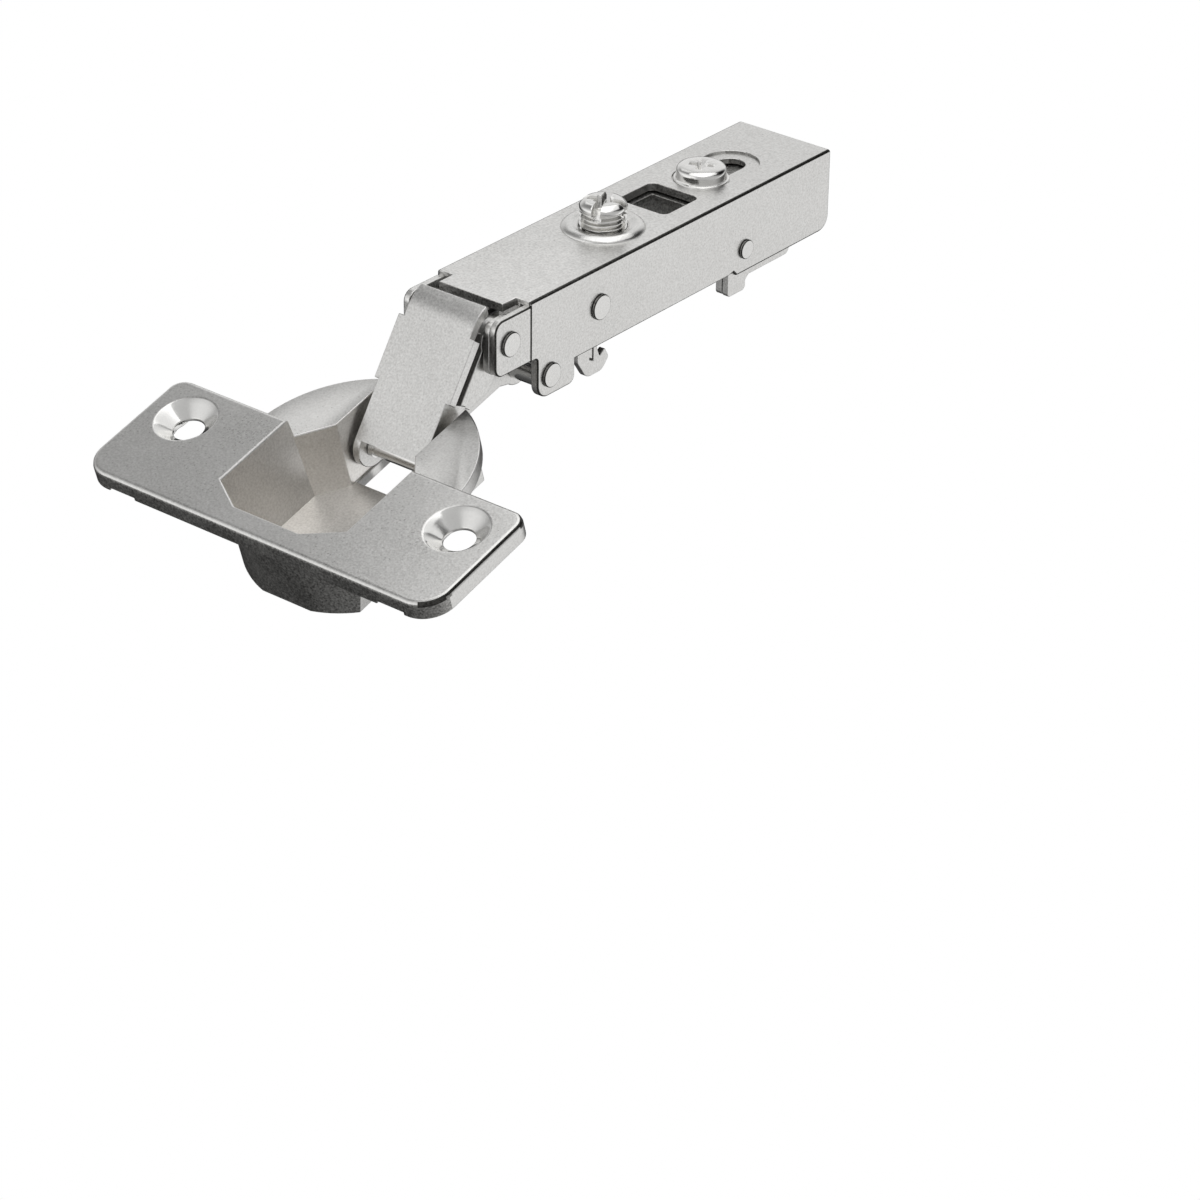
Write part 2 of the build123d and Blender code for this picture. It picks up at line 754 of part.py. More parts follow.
# Cup with its flange
flange_plane = Plane(
    origin=(0, *place(*flange_line)),
    x_dir=(1, 0, 0),
    z_dir=(0, -sin(radians(flange_tilt)), cos(radians(flange_tilt))),
)
door_face = flange_plane.offset(-flange_sheet)
body_depth = flange_sheet + cup_depth
floor_depth = body_depth - cup_floor
rim_back = cup_offset + sqrt(cup_radius**2 - (pocket_half_width + cup_wall) ** 2)
lug_length = 5.0
lug_width = 2.4
lug_depth = 4.2
well_top = well_polygon(well_half_width, well_nose, well_front, flange_back, pocket_half_width)
well_floor = well_polygon(
    floor_half_width, floor_nose, floor_front, floor_back, pocket_floor_half_width
)
flange_outline = rounded_polygon(
    [
        (-flange_width / 2, -flange_front, flange_front_radius),
        (flange_width / 2, -flange_front, flange_front_radius),
        (flange_width / 2, flange_back, flange_back_radius),
        (-flange_width / 2, flange_back, flange_back_radius),
    ]
)
# Tapered body under the well, and the straight body round the link pocket, both inside the drilled hole
with BuildPart() as cup_body:
    with BuildSketch(door_face):
        Polygon(*well_top, align=None)
        offset(amount=cup_wall, kind=Kind.INTERSECTION)
    with BuildSketch(flange_plane.offset(-body_depth)):
        Polygon(*well_floor, align=None)
        offset(amount=cup_wall, kind=Kind.INTERSECTION)
    loft(ruled=True)
    with BuildSketch(door_face):
        Rectangle(
            2 * (pocket_half_width + cup_wall), rim_back, align=(Align.CENTER, Align.MIN)
        )
    extrude(amount=-cup_depth)
    with BuildSketch(door_face):
        with Locations((0, cup_offset)):
            Circle(body_radius)
    extrude(amount=-cup_depth, mode=Mode.INTERSECT)
with BuildPart() as cup:
    with BuildSketch(door_face):
        add(flange_outline)
    extrude(amount=flange_sheet)
    # Shallow recesses across the underside, between the feet and the cup
    with BuildSketch(door_face):
        for sign in (-1, 1):
            with Locations((sign * (recess_inner + recess_outer) / 2, 0)):
                Rectangle(recess_outer - recess_inner, 4 * flange_front)
    extrude(amount=recess_depth, mode=Mode.SUBTRACT)
    # Rim that fits the drilled hole in the door
    with BuildSketch(door_face):
        with Locations((0, cup_offset)):
            Circle(cup_radius)
    extrude(amount=-cup_rim)
    add(cup_body.part)
    # Pressing lugs under the rim
    with BuildSketch(door_face):
        for sign in (-1, 1):
            with Locations((sign * (cup_radius - lug_width - 1.0), cup_offset + 2.5)):
                Rectangle(lug_width, lug_length)
    extrude(amount=-lug_depth - cup_rim)
    # Well, link pocket and the slot through the floor
    with BuildSketch(flange_plane):
        Polygon(*well_top, align=None)
    with BuildSketch(flange_plane.offset(-floor_depth)):
        Polygon(*well_floor, align=None)
    loft(ruled=True, mode=Mode.SUBTRACT)
    for level, half_width in ((0, pocket_half_width), (-floor_depth, pocket_floor_half_width)):
        with BuildSketch(flange_plane.offset(level)):
            with Locations((0, flange_back)):
                Rectangle(2 * half_width, 2 * cup_radius, align=(Align.CENTER, Align.MIN))
    loft(ruled=True, mode=Mode.SUBTRACT)
    with BuildSketch(flange_plane):
        with Locations((0, (slot_front + slot_back) / 2)):
            Rectangle(2 * slot_half_width, slot_back - slot_front)
    extrude(amount=-2 * body_depth, mode=Mode.SUBTRACT)
    # Countersunk screw holes
    with Locations(flange_plane):
        with Locations((-screw_spacing / 2, 0), (screw_spacing / 2, 0)):
            CounterSinkHole(
                screw_hole_radius,
                countersink_radius,
                counter_sink_angle=2
                * degrees(atan2(countersink_radius - screw_hole_radius, countersink_depth)),
            )
    with Locations(across(outer_cup_at)):
        Hole(cup_axle_radius + press_clearance)
finish(cup.part, "cup")

# Cup axle through the outer link's lower eyes
collar_x = 4.35
collar_width = 0.6
collar_rise = 0.2
with BuildPart(across(outer_cup_at)) as cup_axle:
    Cylinder(cup_axle_radius, 2 * (pocket_half_width + cup_wall) - 0.2)
    for end in (-1, 1):
        with Locations((0, 0, end * collar_x)):
            Cylinder(cup_axle_radius + collar_rise, collar_width)
finish(cup_axle.part, "cup_axle")
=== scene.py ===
import bmesh
import bpy
import json
from math import cos, radians, sin
from mathutils import Matrix, Vector

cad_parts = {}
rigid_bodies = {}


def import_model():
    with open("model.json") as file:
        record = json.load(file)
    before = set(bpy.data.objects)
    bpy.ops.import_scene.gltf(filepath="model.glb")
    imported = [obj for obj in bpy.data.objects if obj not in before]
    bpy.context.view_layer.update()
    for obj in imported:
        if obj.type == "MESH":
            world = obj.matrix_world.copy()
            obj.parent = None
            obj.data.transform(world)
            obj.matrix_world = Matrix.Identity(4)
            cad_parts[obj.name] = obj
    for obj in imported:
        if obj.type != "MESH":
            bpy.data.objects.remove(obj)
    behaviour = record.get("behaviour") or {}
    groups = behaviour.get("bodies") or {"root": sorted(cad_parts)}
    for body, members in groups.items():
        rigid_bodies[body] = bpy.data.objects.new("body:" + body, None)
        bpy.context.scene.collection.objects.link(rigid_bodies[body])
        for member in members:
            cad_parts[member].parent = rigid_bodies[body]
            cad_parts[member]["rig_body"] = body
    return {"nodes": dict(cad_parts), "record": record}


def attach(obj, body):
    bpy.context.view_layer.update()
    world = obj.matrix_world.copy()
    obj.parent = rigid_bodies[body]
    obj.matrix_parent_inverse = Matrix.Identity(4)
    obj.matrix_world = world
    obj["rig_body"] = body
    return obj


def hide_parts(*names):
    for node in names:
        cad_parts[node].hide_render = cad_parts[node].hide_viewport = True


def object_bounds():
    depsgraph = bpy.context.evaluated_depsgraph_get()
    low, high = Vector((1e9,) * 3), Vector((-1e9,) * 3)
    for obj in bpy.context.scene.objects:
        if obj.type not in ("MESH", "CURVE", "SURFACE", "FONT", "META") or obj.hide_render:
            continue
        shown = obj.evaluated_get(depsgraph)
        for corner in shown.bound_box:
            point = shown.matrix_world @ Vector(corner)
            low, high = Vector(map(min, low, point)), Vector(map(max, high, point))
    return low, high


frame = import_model()
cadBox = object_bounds()
nodes = frame["nodes"]
mm = 0.001  # the CAD works in millimetres, Blender in metres
print("stage: frame loaded,", len(nodes), "nodes")


# Shader maths: a wrapped socket takes Python operators, and every node comes from Tree.node
class Value:
    def __init__(self, tree, socket):
        self.tree = tree
        self.socket = socket

    def __add__(self, other):
        return self.tree.maths("ADD", self, other)

    def __radd__(self, other):
        return self.tree.maths("ADD", other, self)

    def __sub__(self, other):
        return self.tree.maths("SUBTRACT", self, other)

    def __rsub__(self, other):
        return self.tree.maths("SUBTRACT", other, self)

    def __mul__(self, other):
        return self.tree.maths("MULTIPLY", self, other)

    def __rmul__(self, other):
        return self.tree.maths("MULTIPLY", other, self)

    def __truediv__(self, other):
        return self.tree.maths("DIVIDE", self, other)

    def __rtruediv__(self, other):
        return self.tree.maths("DIVIDE", other, self)


class Tree:
    def __init__(self, nodeTree):
        self.nodes = nodeTree.nodes
        self.links = nodeTree.links
        self.nodes.clear()

    def node(self, kind, settings=None, inputs=None, output=0):
        made = self.nodes.new(kind)
        for key, value in (settings or {}).items():
            setattr(made, key, value)
        for key, value in (inputs or {}).items():
            if isinstance(value, Value):
                self.links.new(value.socket, made.inputs[key])
            else:
                made.inputs[key].default_value = value
        return Value(self, made.outputs[output]) if made.outputs else None

    def maths(self, operation, first, second):
        return self.node("ShaderNodeMath", {"operation": operation}, {0: first, 1: second})

    def noise(self, place, scale, detail):
        return self.node("ShaderNodeTexNoise", {}, {"Vector": place, "Scale": scale, "Detail": detail})

    def blendColour(self, factor, low, high):
        inputs = {0: factor, 6: (*low, 1), 7: (*high, 1)}
        return self.node("ShaderNodeMix", {"data_type": "RGBA"}, inputs, 2)


def metalFinish(name, look):
    material = bpy.data.materials.new(name)
    material.use_nodes = True
    tree = Tree(material.node_tree)
    place = tree.node("ShaderNodeTexCoord", output="Object")
    cloud = tree.noise(place, look["cloudScale"], 3.0)
    grain = tree.noise(place, look["grainScale"], 2.0)
    tone = 0.5 + (cloud - 0.5) * look["cloudDepth"] + (grain - 0.5) * look["grainDepth"]
    colour = tree.blendColour(tone, look["dark"], look["light"])
    roughness = (
        look["roughness"] + (cloud - 0.5) * look["roughSpread"] + (grain - 0.5) * look["roughGrain"]
    )
    bump = tree.node(
        "ShaderNodeBump", {}, {"Strength": look["bump"], "Distance": look["bumpDepth"], "Height": grain}
    )
    shader = tree.node(
        "ShaderNodeBsdfPrincipled",
        {},
        {"Base Color": colour, "Metallic": 1.0, "Roughness": roughness, "Normal": bump},
    )
    tree.node("ShaderNodeOutputMaterial", {}, {"Surface": shader})
    return material


satinNickel = metalFinish(
    "satinNickel",
    {
        "dark": (0.54, 0.535, 0.52),
        "light": (0.86, 0.855, 0.84),
        "cloudScale": 90.0,
        "cloudDepth": 0.4,
        "grainScale": 3400.0,
        "grainDepth": 1.6,
        "roughness": 0.33,
        "roughSpread": 0.10,
        "roughGrain": 0.2,
        "bump": 0.6,
        "bumpDepth": 0.00002,
    },
)
castNickel = metalFinish(
    "castNickel",
    {
        "dark": (0.53, 0.525, 0.51),
        "light": (0.85, 0.845, 0.83),
        "cloudScale": 70.0,
        "cloudDepth": 0.4,
        "grainScale": 3200.0,
        "grainDepth": 1.2,
        "roughness": 0.32,
        "roughSpread": 0.10,
        "roughGrain": 0.2,
        "bump": 0.5,
        "bumpDepth": 0.00002,
    },
)
warmNickel = metalFinish(
    "warmNickel",
    {
        "dark": (0.64, 0.62, 0.59),
        "light": (0.95, 0.93, 0.90),
        "cloudScale": 110.0,
        "cloudDepth": 0.8,
        "grainScale": 3200.0,
        "grainDepth": 1.4,
        "roughness": 0.36,
        "roughSpread": 0.12,
        "roughGrain": 0.2,
        "bump": 0.6,
        "bumpDepth": 0.00002,
    },
)
# Painted shade: a dark grainy copy of the nickel for faces that lie in shade or mirror the dark side of the
# studio
darkNickel = metalFinish(
    "darkNickel",
    {
        "dark": (0.16, 0.158, 0.152),
        "light": (0.50, 0.495, 0.48),
        "cloudScale": 160.0,
        "cloudDepth": 0.6,
        "grainScale": 3400.0,
        "grainDepth": 2.4,
        "roughness": 0.42,
        "roughSpread": 0.1,
        "roughGrain": 0.3,
        "bump": 0.9,
        "bumpDepth": 0.00003,
    },
)
brightNickel = metalFinish(
    "brightNickel",
    {
        "dark": (0.70, 0.695, 0.68),
        "light": (0.86, 0.855, 0.84),
        "cloudScale": 160.0,
        "cloudDepth": 0.5,
        "grainScale": 4200.0,
        "grainDepth": 0.6,
        "roughness": 0.15,
        "roughSpread": 0.08,
        "roughGrain": 0.06,
        "bump": 0.12,
        "bumpDepth": 0.00001,
    },
)
headNickel = metalFinish(
    "headNickel",
    {
        "dark": (0.60, 0.595, 0.58),
        "light": (0.82, 0.815, 0.80),
        "cloudScale": 200.0,
        "cloudDepth": 0.4,
        "grainScale": 3800.0,
        "grainDepth": 1.0,
        "roughness": 0.24,
        "roughSpread": 0.08,
        "roughGrain": 0.12,
        "bump": 0.3,
        "bumpDepth": 0.00002,
    },
)
# Painted black shade and dark reflection: near-black nickel for rounded folds and edges and for the recess
# behind the link's plate
foldNickel = metalFinish(
    "foldNickel",
    {
        "dark": (0.02, 0.02, 0.018),
        "light": (0.12, 0.118, 0.112),
        "cloudScale": 240.0,
        "cloudDepth": 0.5,
        "grainScale": 3600.0,
        "grainDepth": 1.6,
        "roughness": 0.36,
        "roughSpread": 0.1,
        "roughGrain": 0.2,
        "bump": 0.4,
        "bumpDepth": 0.00002,
    },
)
springSteel = metalFinish(
    "springSteel",
    {
        "dark": (0.36, 0.36, 0.37),
        "light": (0.55, 0.55, 0.56),
        "cloudScale": 200.0,
        "cloudDepth": 0.6,
        "grainScale": 4200.0,
        "grainDepth": 0.8,
        "roughness": 0.3,
        "roughSpread": 0.1,
        "roughGrain": 0.1,
        "bump": 0.15,
        "bumpDepth": 0.00001,
    },
)
finishes = {
    "satin_nickel": satinNickel,
    "cast_nickel": castNickel,
    "bright_nickel": brightNickel,
    "spring_steel": springSteel,
}
slotOf = {part["node"]: part["material_slot"] for part in frame["record"]["subparts"]}


def dress(obj, material):
    obj.data.materials.clear()
    obj.data.materials.append(material)


for name, node in nodes.items():
    dress(node, finishes[slotOf[name]])
print("stage: materials made")


def onlySelect(obj):
    bpy.ops.object.select_all(action="DESELECT")
    obj.select_set(True)
    bpy.context.view_layer.objects.active = obj


def applyAll(obj):
    onlySelect(obj)
    for modifier in list(obj.modifiers):
        bpy.ops.object.modifier_apply(modifier=modifier.name)


# Edge rounding: a merged copy of a CAD node whose sharp edges get a small real bevel
rounding = {
    "mergeWithin": 0.002,  # millimetres
    "flatWithin": 0.3,  # degrees, facets as flat as this become one face
    "crispFrom": 20,  # degrees, a fold past this isn't smoothed away
    "roundFrom": 30,  # degrees, a fold past this is rounded
    "segments": 3,
    "evenness": 80,
}


def foldedEdges(mesh, angle):
    shape = bmesh.new()
    shape.from_mesh(mesh)
    found = [
        (edge.index, (edge.verts[0].co + edge.verts[1].co) / 2, edge.calc_face_angle(0), edge.is_convex)
        for edge in shape.edges
        if edge.calc_face_angle(0) > radians(angle)
    ]
    shape.free()
    return found


def roundedCopy(pieceName, nodeName, look):
    source = nodes[nodeName]
    piece = bpy.data.objects.new(pieceName, source.data.copy())
    bpy.context.scene.collection.objects.link(piece)
    onlySelect(piece)
    bpy.ops.object.mode_set(mode="EDIT")
    bpy.ops.mesh.select_all(action="SELECT")
    bpy.ops.mesh.remove_doubles(threshold=rounding["mergeWithin"] * mm)
    bpy.ops.mesh.dissolve_limited(angle_limit=radians(rounding["flatWithin"]))
    bpy.ops.object.mode_set(mode="OBJECT")
    bpy.ops.object.shade_smooth()
    for face in piece.data.polygons:
        if "flat" in look and look["flat"](face.center / mm, face.normal):
            face.use_smooth = False
    weight = piece.data.attributes.new("bevel_weight_edge", "FLOAT", "EDGE")
    for index, middle, fold, outward in foldedEdges(piece.data, look.get("crisp", rounding["crispFrom"])):
        share = look["share"](middle / mm, outward) if "share" in look else 1.0
        if fold > radians(rounding["roundFrom"]) and share and (look["inwardToo"] or outward):
            weight.data[index].value = share
        else:
            piece.data.edges[index].use_edge_sharp = True
    bevel = piece.modifiers.new("edgeRound", "BEVEL")
    bevel.width = look["width"] * mm
    bevel.segments = rounding["segments"]
    bevel.limit_method = "WEIGHT"
    bevel.use_clamp_overlap = False
    bevel.loop_slide = False
    even = piece.modifiers.new("evenFaces", "WEIGHTED_NORMAL")
    even.keep_sharp = True
    even.weight = rounding["evenness"]
    applyAll(piece)
    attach(piece, source["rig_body"])
    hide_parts(nodeName)
    return piece


# The flange and its cup lie tilted: places on them are given across, along and above the flange
flange = {
    "tilt": 15.9,
    "line": (-65.51, -12.34),  # y and z of the line through both screw holes
    "halfWidth": 31.0,
    "front": -13.98,
    "back": 6.49,
    "corner": 4.5,
    "level": 0.05,  # what is nearer than this to the top face counts as on it
    "hole": 24.0,
    "sink": 4.5,
    "sinkEdge": 4.8,
}
well = {
    "halfWidth": 11.3,
    "front": -10.6,
    "back": 24.0,
    "middle": -1.0,
    "top": -0.3,
    "bottom": -12.6,
    "lipHalfWidth": 11.2,
    "foldHalfWidth": 10.0,
    "foldFront": -10.4,
    "foldBack": 3.0,
    "foldBottom": -11.0,
    "inward": 0.2,
    "upward": 0.3,
}
cupRounding = {"outline": 1.0, "lip": 0.4, "sink": 0.25, "wellFold": 0.25, "below": 0.22}
tilted = radians(flange["tilt"])
flangeUp = Vector((0, -sin(tilted), cos(tilted)))
flangeAlong = Vector((0, cos(tilted), sin(tilted)))
flangeSpot = Vector((0, *flange["line"]))


def onFlange(place):
    return place.x, (place - flangeSpot).dot(flangeAlong), (place - flangeSpot).dot(flangeUp)


def cupShare(place, outward):  # the flange's outline is rounded most, then the lip of the well
    x, along, height = onFlange(place)
    if not outward:
        atFold = abs(x) < well["foldHalfWidth"] and well["foldFront"] < along < well["foldBack"]
        return cupRounding["wellFold"] if atFold and height > well["foldBottom"] else 0.0
    if abs(height) >= flange["level"]:
        return cupRounding["below"]
    if abs(abs(x) - flange["hole"]) < flange["sinkEdge"] and abs(along) < flange["sinkEdge"]:
        return cupRounding["sink"]
    atFront = along < flange["front"] + flange["corner"]
    atEnd = abs(x) > flange["halfWidth"] - flange["corner"]
    atBack = along > flange["back"] - flange["level"]
    onLip = abs(x) < well["lipHalfWidth"] and along > well["front"]
    return cupRounding["outline"] if (atFront or atEnd or atBack) and not onLip else cupRounding["lip"]


def inWell(place, normal):
    x, along, height = onFlange(place)
    up = normal.dot(flangeUp)
    inside = abs(x) < well["halfWidth"] and well["front"] < along < well["back"]
    onSide = normal.x * x < -well["inward"]
    onEnd = normal.dot(flangeAlong) * (along - well["middle"]) < -well["inward"]
    facingIn = up > well["upward"] or (up > -well["upward"] and (onSide or onEnd))
    return inside and well["bottom"] < height < well["top"] and facingIn


# The arm's lower edges and its ears' outlines are rounded more than its openings
armRounding = {
    "openingsWithin": 7.3,
    "opening": 0.3,
    "topFrom": 2.3,
    "top": 0.5,
    "lowBelow": -8.0,
    "lowBehind": -18.0,
    "low": 0.9,
    "ears": 0.6,
}


def armShare(place, outward):
    if abs(place.x) < armRounding["openingsWithin"]:
        return armRounding["opening"]
    if place.z > armRounding["topFrom"]:
        return armRounding["top"]
    isLow = place.z < armRounding["lowBelow"] and place.y > armRounding["lowBehind"]
    return armRounding["low"] if isLow else armRounding["ears"]


rivets = ("upper_axle", "lower_axle", "front_rivet", "guide_rivet_left", "guide_rivet_right")
roundings = {
    "arm": {"width": 0.35, "inwardToo": False, "share": armShare},
    "ear_plate_left": {"width": 0.15, "inwardToo": True},
    "ear_plate_right": {"width": 0.15, "inwardToo": True},
    "outer_link": {"width": 0.14, "inwardToo": False},
    "inner_link": {"width": 0.2, "inwardToo": True},
    "cup": {"width": 0.75, "inwardToo": True, "share": cupShare, "crisp": 14, "flat": inWell},
    "carrier": {"width": 0.12, "inwardToo": True},
    "latch_lever": {"width": 0.12, "inwardToo": True},
}
for name in rivets:
    roundings[name] = {"width": 0.14, "inwardToo": False}
shells = {}
for nodeName, look in roundings.items():
    words = nodeName.split("_")
    pieceName = words[0] + "".join(word.capitalize() for word in words[1:]) + "Shell"
    shells[nodeName] = roundedCopy(pieceName, nodeName, look)
    print("stage:", pieceName, len(shells[nodeName].data.polygons), "faces")


# Turned pieces: a profile of (radius, height) is drawn by extrusion and wound round Z, rising for a thread
turning = {
    "mergeWithin": 0.0005,  # millimetres
    "steps": 96,
    "threadSteps": 72,
    "segments": 2,
    "roundFrom": 40,  # degrees
    "crispFrom": 38,
}


def addSquare(pieceName, size, place):
    bpy.ops.object.select_all(action="DESELECT")
    bpy.ops.mesh.primitive_plane_add(size=size * mm, calc_uvs=False, location=Vector(place) * mm)
    square = bpy.context.active_object
    square.name = pieceName
    square.data.name = pieceName
    bpy.ops.object.mode_set(mode="EDIT")
    bpy.ops.mesh.select_mode(type="VERT")
    return square


def extrudeBy(step):
    bpy.ops.mesh.extrude_region_move(TRANSFORM_OT_translate={"value": tuple(step * mm)})


def mergeAll():
    bpy.ops.mesh.select_all(action="SELECT")
    bpy.ops.mesh.remove_doubles(threshold=turning["mergeWithin"] * mm)


def wound(pieceName, profile, centre, rise=0.0, turns=1, steps=turning["steps"]):
    piece = addSquare(pieceName, 1.0, centre)
    bpy.ops.mesh.merge(type="CENTER")
    corners = [Vector((radius, 0, height)) for radius, height in profile]
    if profile[0][0] > 0:  # clear of the axis, so the outline closes on itself
        corners.append(corners[0])
    bpy.ops.transform.translate(value=tuple(corners[0] * mm))
    for here, there in zip(corners, corners[1:]):
        extrudeBy(there - here)
    mergeAll()
    bpy.ops.object.mode_set(mode="OBJECT")
    wind = piece.modifiers.new("wind", "SCREW")
    wind.axis = "Z"
    wind.angle = radians(360)
    wind.screw_offset = rise * mm
    wind.iterations = turns
    wind.steps = steps
    wind.render_steps = steps
    wind.use_merge_vertices = rise == 0
    wind.merge_threshold = turning["mergeWithin"] * mm
    applyAll(piece)
    bpy.ops.object.mode_set(mode="EDIT")
    mergeAll()
    if rise:
        bpy.ops.mesh.fill_holes(sides=0)
        bpy.ops.mesh.select_all(action="SELECT")
    bpy.ops.mesh.normals_make_consistent(inside=False)
    bpy.ops.object.mode_set(mode="OBJECT")
    bpy.ops.object.transform_apply(location=True)
    return piece


def pickCorners(piece, isPicked):
    bpy.ops.mesh.select_all(action="DESELECT")
    bpy.ops.object.mode_set(mode="OBJECT")
    for corner in piece.data.vertices:
        corner.select = isPicked(corner.co / mm)
    bpy.ops.object.mode_set(mode="EDIT")


# A cross is cut by a square with four arms, extruded down and drawn in at its floor
def cutCross(piece, centre, top, look):
    near, far = look["slot"] / 2, look["length"] / 2
    edge = near + turning["mergeWithin"]
    place = Vector((centre[0], centre[1], top + look["depth"]))
    cutter = addSquare("crossCutter", look["slot"], place)
    for side in (Vector((1, 0, 0)), Vector((0, 1, 0)), Vector((-1, 0, 0)), Vector((0, -1, 0))):
        across = Vector((-side.y, side.x, 0))
        pickCorners(cutter, lambda corner: corner.dot(side) > near / 2 and abs(corner.dot(across)) < edge)
        extrudeBy(side * (far - near))
    bpy.ops.mesh.select_all(action="SELECT")
    extrudeBy(Vector((0, 0, -2 * look["depth"])))
    length, width = look["floorLength"], look["floorWidth"]
    drawIns = (
        (lambda corner: max(abs(corner.x), abs(corner.y)) < edge, (width, width, 1)),
        (lambda corner: abs(corner.x) > edge, (length, width, 1)),
        (lambda corner: abs(corner.y) > edge, (width, length, 1)),
    )
    for isDrawnIn, factors in drawIns:
        pickCorners(cutter, lambda corner: corner.z < -look["depth"] and isDrawnIn(corner))
        bpy.ops.transform.resize(value=factors, center_override=tuple(place * mm))
    bpy.ops.mesh.select_all(action="SELECT")
    bpy.ops.mesh.dissolve_limited(angle_limit=radians(rounding["flatWithin"]))
    bpy.ops.mesh.normals_make_consistent(inside=False)
    bpy.ops.object.mode_set(mode="OBJECT")
    cutter.rotation_euler.z = radians(look["turn"])
    cut = piece.modifiers.new("cross", "BOOLEAN")
    cut.operation = "DIFFERENCE"
    cut.solver = "EXACT"
    cut.object = cutter
    applyAll(piece)
    bpy.data.objects.remove(cutter)


def finishTurned(piece, material, body, width, crisp=turning["crispFrom"]):
    dress(piece, material)
    if width:
        soften = piece.modifiers.new("edgeRound", "BEVEL")
        soften.width = width * mm
        soften.segments = turning["segments"]
        soften.limit_method = "ANGLE"
        soften.angle_limit = radians(turning["roundFrom"])
        applyAll(piece)
    onlySelect(piece)
    bpy.ops.object.shade_smooth_by_angle(angle=radians(crisp))
    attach(piece, body)


# The overlay stud: a grooved shank, a crown cut into four lobes and a thread round it
stud = {
    "centre": (0, -6.2, 0),
    "body": [
        (0, 0.05), (3.3, 0.05), (3.3, 0.5), (2.1, 0.5), (2.1, 1.1), (3.0, 1.1), (2.8, 1.2), (2.8, 4.95),
        (3.34, 5.2), (3.4, 5.75), (3.25, 6.05), (2.75, 6.5), (2.4, 6.6), (0, 6.6),
    ],
    "tooth": [(2.7, -0.25), (3.36, -0.06), (3.38, 0.0), (3.36, 0.06), (2.7, 0.25)],
    "pitch": 0.68,
    "threadBottom": 1.9,
    "turns": 5,
    "rounding": 0.06,
    "cross": {"turn": 20, "slot": 1.4, "length": 8.0, "depth": 2.1, "floorLength": 1.0, "floorWidth": 0.85},
    "hub": {"turn": 20, "slot": 2.3, "length": 2.6, "depth": 1.9, "floorLength": 0.8, "floorWidth": 0.8},
}
studTop = stud["body"][-1][1]
studBody = wound("studBody", stud["body"], stud["centre"])
threadBase = Vector(stud["centre"]) + Vector((0, 0, stud["threadBottom"]))
studThread = wound(
    "studThread", stud["tooth"], threadBase, stud["pitch"], stud["turns"], turning["threadSteps"]
)
for piece in (studBody, studThread):
    cutCross(piece, stud["centre"], studTop, stud["cross"])
cutCross(studBody, stud["centre"], studTop, stud["hub"])
finishTurned(studBody, brightNickel, "overlay_screw", stud["rounding"])
finishTurned(studThread, brightNickel, "overlay_screw", 0)
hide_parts("front_screw")
print("stage: stud turned and threaded")

# The collar round the stud is a broad rolled ring with a dished inside
collar = {
    "centre": (0, -6.2, 0),
    "ring": [
        (3.56, 1.9), (6.0, 1.9), (6.02, 2.46), (5.96, 2.62), (5.82, 2.8), (5.62, 2.96), (5.38, 3.1),
        (5.12, 3.2), (4.85, 3.23), (4.6, 3.17), (4.3, 3.02), (4.0, 2.9), (3.75, 2.84), (3.62, 2.8),
        (3.56, 2.7),
    ],
    "crisp": 50,
}
collarRing = wound("collarRing", collar["ring"], collar["centre"])
finishTurned(collarRing, headNickel, "arm", 0, collar["crisp"])
print("stage: collar rolled")

# Clamping screw: a pan head on a thin base flange with a flared cross recess
clamp = {
    "centre": (0, 16.2, 0),
    "body": [
        (0, -4.3), (1.55, -4.3), (1.95, -3.9), (1.95, 2.2), (4.05, 2.2), (4.08, 2.35), (4.0, 2.48),
        (3.72, 2.56), (3.66, 2.75), (3.66, 3.55), (3.58, 3.9), (3.36, 4.18), (3.0, 4.34), (2.5, 4.4),
        (0, 4.4),
    ],
    "rounding": 0.07,
    "cross": {"turn": 24, "slot": 1.15, "length": 4.9, "depth": 1.3, "floorLength": 0.5, "floorWidth": 0.7},
    "hub": {"turn": 24, "slot": 2.0, "length": 2.2, "depth": 1.25, "floorLength": 0.45, "floorWidth": 0.45},
}
clampTop = clamp["body"][-1][1]
clampScrew = wound("clampScrew", clamp["body"], clamp["centre"])
cutCross(clampScrew, clamp["centre"], clampTop, clamp["cross"])
cutCross(clampScrew, clamp["centre"], clampTop, clamp["hub"])
finishTurned(clampScrew, brightNickel, "depth_screw", clamp["rounding"])
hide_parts("rear_screw")
print("stage: clamping screw turned")


# The cup is warm inside its well and bright in its countersinks; the small faces on the well's lip get a
# painted highlight, and the faces in front and below get painted shade
cupPaint = {
    "warm": 1,
    "dark": 2,
    "bright": 3,
    "lipFacet": 0.9,  # square millimetres, smaller faces of the well belong to its lip
    "sinkUp": 0.95,
    "steep": 0.3,
    "forward": 0.1,
    "endFrom": 28.5,
    "endDepth": 1.0,
    "endUp": 0.25,
    "endOutward": (0.3, 0.95),
}


def paintCup(cup):
    for material in (warmNickel, darkNickel, brightNickel):
        cup.data.materials.append(material)
    for face in cup.data.polygons:
        x, along, height = onFlange(face.center / mm)
        up = face.normal.dot(flangeUp)
        inSink = (abs(x) - flange["hole"]) ** 2 + along ** 2 < flange["sink"] ** 2
        if inWell(face.center / mm, face.normal):
            # small faces on the well's lip get a painted highlight in the bright finish
            isLip = face.area < cupPaint["lipFacet"] * mm ** 2
            face.material_index = cupPaint["bright" if isLip else "warm"]
        elif inSink and up < cupPaint["sinkUp"]:
            face.material_index = cupPaint["bright"]
        # faces turned to the front and down get painted shade
        elif up < cupPaint["steep"] and face.normal.y < -cupPaint["forward"]:
            face.material_index = cupPaint["dark"]


